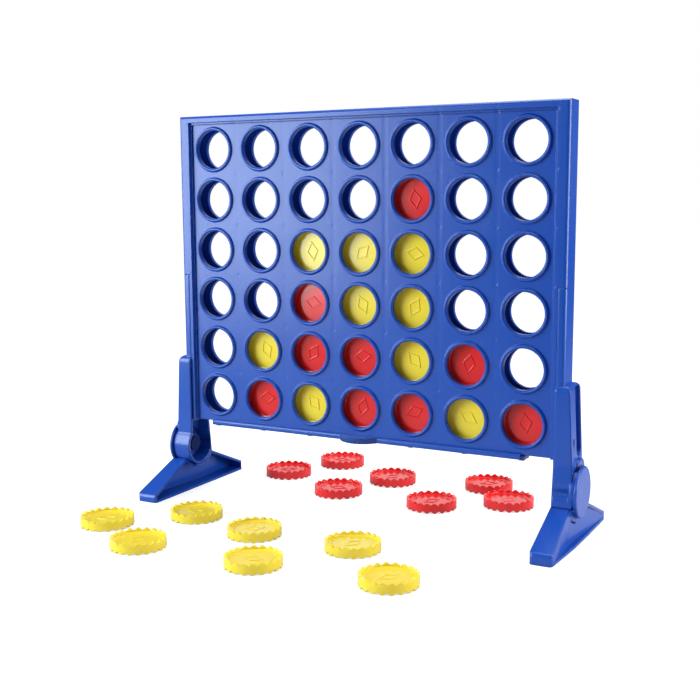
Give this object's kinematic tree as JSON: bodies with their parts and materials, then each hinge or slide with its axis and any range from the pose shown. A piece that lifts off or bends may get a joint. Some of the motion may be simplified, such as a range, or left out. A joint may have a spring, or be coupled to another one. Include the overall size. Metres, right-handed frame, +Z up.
{
  "type": "giant four in a row",
  "caption": "Free-standing drop-disc game: holed blue rack on legs with folding feet, a sliding bar that lets the stacked discs fall out, and toothed red and yellow discs.",
  "frame": {"origin": "on the floor, under the middle of the whole set; the rack's middle plane is 28 mm behind it", "axes": "+X to the right along the rack, +Y from the front of the rack to its back, +Z up"},
  "size_m": [0.5436, 0.4811, 0.4788],
  "materials": {
    "blue": "glossy",
    "red": "glossy",
    "yellow": "glossy"
  },
  "bodies": {
    "rack": {"front_grid": "blue", "rear_grid": "blue", "left_leg_post": "blue", "right_leg_post": "blue"},
    "release_bar": {"release_bar": "blue"},
    "left_foot": {"left_foot": "blue", "left_pivot_pin": "blue"},
    "right_foot": {"right_foot": "blue", "right_pivot_pin": "blue"},
    "red_disc_c2_r1": {"red_disc_c2_r1": "red"},
    "yellow_disc_c2_r2": {"yellow_disc_c2_r2": "yellow"},
    "yellow_disc_c3_r1": {"yellow_disc_c3_r1": "yellow"},
    "red_disc_c3_r2": {"red_disc_c3_r2": "red"},
    "red_disc_c3_r3": {"red_disc_c3_r3": "red"},
    "yellow_disc_c3_r4": {"yellow_disc_c3_r4": "yellow"},
    "red_disc_c4_r1": {"red_disc_c4_r1": "red"},
    "red_disc_c4_r2": {"red_disc_c4_r2": "red"},
    "yellow_disc_c4_r3": {"yellow_disc_c4_r3": "yellow"},
    "yellow_disc_c4_r4": {"yellow_disc_c4_r4": "yellow"},
    "red_disc_c5_r1": {"red_disc_c5_r1": "red"},
    "yellow_disc_c5_r2": {"yellow_disc_c5_r2": "yellow"},
    "yellow_disc_c5_r3": {"yellow_disc_c5_r3": "yellow"},
    "yellow_disc_c5_r4": {"yellow_disc_c5_r4": "yellow"},
    "red_disc_c5_r5": {"red_disc_c5_r5": "red"},
    "yellow_disc_c6_r1": {"yellow_disc_c6_r1": "yellow"},
    "red_disc_c6_r2": {"red_disc_c6_r2": "red"},
    "red_disc_c7_r1": {"red_disc_c7_r1": "red"},
    "yellow_disc_floor_1": {"yellow_disc_floor_1": "yellow"},
    "yellow_disc_floor_2": {"yellow_disc_floor_2": "yellow"},
    "yellow_disc_floor_3": {"yellow_disc_floor_3": "yellow"},
    "yellow_disc_floor_4": {"yellow_disc_floor_4": "yellow"},
    "yellow_disc_floor_5": {"yellow_disc_floor_5": "yellow"},
    "yellow_disc_floor_6": {"yellow_disc_floor_6": "yellow"},
    "yellow_disc_floor_7": {"yellow_disc_floor_7": "yellow"},
    "red_disc_floor_1": {"red_disc_floor_1": "red"},
    "red_disc_floor_2": {"red_disc_floor_2": "red"},
    "red_disc_floor_3": {"red_disc_floor_3": "red"},
    "red_disc_floor_4": {"red_disc_floor_4": "red"},
    "red_disc_floor_5": {"red_disc_floor_5": "red"},
    "red_disc_floor_6": {"red_disc_floor_6": "red"},
    "red_disc_floor_7": {"red_disc_floor_7": "red"}
  },
  "joints": [
    {"name": "release_bar_slide", "type": "slide", "parent": "rack", "child": "release_bar", "axis": [1, 0, 0], "range_m": [0, 0.034]},
    {"name": "left_foot_fold", "type": "hinge", "parent": "rack", "child": "left_foot", "pos_m": [-0.2535, 0.028, 0.0565], "axis": [-1, 0, 0], "range_deg": [0, 75]},
    {"name": "right_foot_fold", "type": "hinge", "parent": "rack", "child": "right_foot", "pos_m": [0.2535, 0.028, 0.0565], "axis": [1, 0, 0], "range_deg": [0, 75]},
    {"name": "red_disc_c2_r1_lift", "type": "slide", "parent": "rack", "child": "red_disc_c2_r1", "axis": [0, 0, 1], "range_m": [0, 0.321]},
    {"name": "yellow_disc_c2_r2_lift", "type": "slide", "parent": "rack", "child": "yellow_disc_c2_r2", "axis": [0, 0, 1], "range_m": [0, 0.321]},
    {"name": "yellow_disc_c3_r1_lift", "type": "slide", "parent": "rack", "child": "yellow_disc_c3_r1", "axis": [0, 0, 1], "range_m": [0, 0.197]},
    {"name": "red_disc_c3_r2_lift", "type": "slide", "parent": "rack", "child": "red_disc_c3_r2", "axis": [0, 0, 1], "range_m": [0, 0.197]},
    {"name": "red_disc_c3_r3_lift", "type": "slide", "parent": "rack", "child": "red_disc_c3_r3", "axis": [0, 0, 1], "range_m": [0, 0.197]},
    {"name": "yellow_disc_c3_r4_lift", "type": "slide", "parent": "rack", "child": "yellow_disc_c3_r4", "axis": [0, 0, 1], "range_m": [0, 0.197]},
    {"name": "red_disc_c4_r1_lift", "type": "slide", "parent": "rack", "child": "red_disc_c4_r1", "axis": [0, 0, 1], "range_m": [0, 0.197]},
    {"name": "red_disc_c4_r2_lift", "type": "slide", "parent": "rack", "child": "red_disc_c4_r2", "axis": [0, 0, 1], "range_m": [0, 0.197]},
    {"name": "yellow_disc_c4_r3_lift", "type": "slide", "parent": "rack", "child": "yellow_disc_c4_r3", "axis": [0, 0, 1], "range_m": [0, 0.197]},
    {"name": "yellow_disc_c4_r4_lift", "type": "slide", "parent": "rack", "child": "yellow_disc_c4_r4", "axis": [0, 0, 1], "range_m": [0, 0.197]},
    {"name": "red_disc_c5_r1_lift", "type": "slide", "parent": "rack", "child": "red_disc_c5_r1", "axis": [0, 0, 1], "range_m": [0, 0.135]},
    {"name": "yellow_disc_c5_r2_lift", "type": "slide", "parent": "rack", "child": "yellow_disc_c5_r2", "axis": [0, 0, 1], "range_m": [0, 0.135]},
    {"name": "yellow_disc_c5_r3_lift", "type": "slide", "parent": "rack", "child": "yellow_disc_c5_r3", "axis": [0, 0, 1], "range_m": [0, 0.135]},
    {"name": "yellow_disc_c5_r4_lift", "type": "slide", "parent": "rack", "child": "yellow_disc_c5_r4", "axis": [0, 0, 1], "range_m": [0, 0.135]},
    {"name": "red_disc_c5_r5_lift", "type": "slide", "parent": "rack", "child": "red_disc_c5_r5", "axis": [0, 0, 1], "range_m": [0, 0.135]},
    {"name": "yellow_disc_c6_r1_lift", "type": "slide", "parent": "rack", "child": "yellow_disc_c6_r1", "axis": [0, 0, 1], "range_m": [0, 0.321]},
    {"name": "red_disc_c6_r2_lift", "type": "slide", "parent": "rack", "child": "red_disc_c6_r2", "axis": [0, 0, 1], "range_m": [0, 0.321]},
    {"name": "red_disc_c7_r1_lift", "type": "slide", "parent": "rack", "child": "red_disc_c7_r1", "axis": [0, 0, 1], "range_m": [0, 0.383]},
    {"name": "yellow_disc_floor_1_lift", "type": "slide", "parent": "rack", "child": "yellow_disc_floor_1", "axis": [0, 0, 1], "range_m": [0, 0.06]},
    {"name": "yellow_disc_floor_2_lift", "type": "slide", "parent": "rack", "child": "yellow_disc_floor_2", "axis": [0, 0, 1], "range_m": [0, 0.06]},
    {"name": "yellow_disc_floor_3_lift", "type": "slide", "parent": "rack", "child": "yellow_disc_floor_3", "axis": [0, 0, 1], "range_m": [0, 0.06]},
    {"name": "yellow_disc_floor_4_lift", "type": "slide", "parent": "rack", "child": "yellow_disc_floor_4", "axis": [0, 0, 1], "range_m": [0, 0.06]},
    {"name": "yellow_disc_floor_5_lift", "type": "slide", "parent": "rack", "child": "yellow_disc_floor_5", "axis": [0, 0, 1], "range_m": [0, 0.06]},
    {"name": "yellow_disc_floor_6_lift", "type": "slide", "parent": "rack", "child": "yellow_disc_floor_6", "axis": [0, 0, 1], "range_m": [0, 0.06]},
    {"name": "yellow_disc_floor_7_lift", "type": "slide", "parent": "rack", "child": "yellow_disc_floor_7", "axis": [0, 0, 1], "range_m": [0, 0.06]},
    {"name": "red_disc_floor_1_lift", "type": "slide", "parent": "rack", "child": "red_disc_floor_1", "axis": [0, 0, 1], "range_m": [0, 0.06]},
    {"name": "red_disc_floor_2_lift", "type": "slide", "parent": "rack", "child": "red_disc_floor_2", "axis": [0, 0, 1], "range_m": [0, 0.06]},
    {"name": "red_disc_floor_3_lift", "type": "slide", "parent": "rack", "child": "red_disc_floor_3", "axis": [0, 0, 1], "range_m": [0, 0.06]},
    {"name": "red_disc_floor_4_lift", "type": "slide", "parent": "rack", "child": "red_disc_floor_4", "axis": [0, 0, 1], "range_m": [0, 0.06]},
    {"name": "red_disc_floor_5_lift", "type": "slide", "parent": "rack", "child": "red_disc_floor_5", "axis": [0, 0, 1], "range_m": [0, 0.06]},
    {"name": "red_disc_floor_6_lift", "type": "slide", "parent": "rack", "child": "red_disc_floor_6", "axis": [0, 0, 1], "range_m": [0, 0.06]},
    {"name": "red_disc_floor_7_lift", "type": "slide", "parent": "rack", "child": "red_disc_floor_7", "axis": [0, 0, 1], "range_m": [0, 0.06]}
  ],
  "couplings": [
    {"joint": "yellow_disc_c2_r2_lift", "follows": "red_disc_c2_r1_lift", "ratio": 1},
    {"joint": "red_disc_c3_r2_lift", "follows": "yellow_disc_c3_r1_lift", "ratio": 1},
    {"joint": "red_disc_c3_r3_lift", "follows": "yellow_disc_c3_r1_lift", "ratio": 1},
    {"joint": "yellow_disc_c3_r4_lift", "follows": "yellow_disc_c3_r1_lift", "ratio": 1},
    {"joint": "red_disc_c4_r2_lift", "follows": "red_disc_c4_r1_lift", "ratio": 1},
    {"joint": "yellow_disc_c4_r3_lift", "follows": "red_disc_c4_r1_lift", "ratio": 1},
    {"joint": "yellow_disc_c4_r4_lift", "follows": "red_disc_c4_r1_lift", "ratio": 1},
    {"joint": "yellow_disc_c5_r2_lift", "follows": "red_disc_c5_r1_lift", "ratio": 1},
    {"joint": "yellow_disc_c5_r3_lift", "follows": "red_disc_c5_r1_lift", "ratio": 1},
    {"joint": "yellow_disc_c5_r4_lift", "follows": "red_disc_c5_r1_lift", "ratio": 1},
    {"joint": "red_disc_c5_r5_lift", "follows": "red_disc_c5_r1_lift", "ratio": 1},
    {"joint": "red_disc_c6_r2_lift", "follows": "yellow_disc_c6_r1_lift", "ratio": 1}
  ]
}
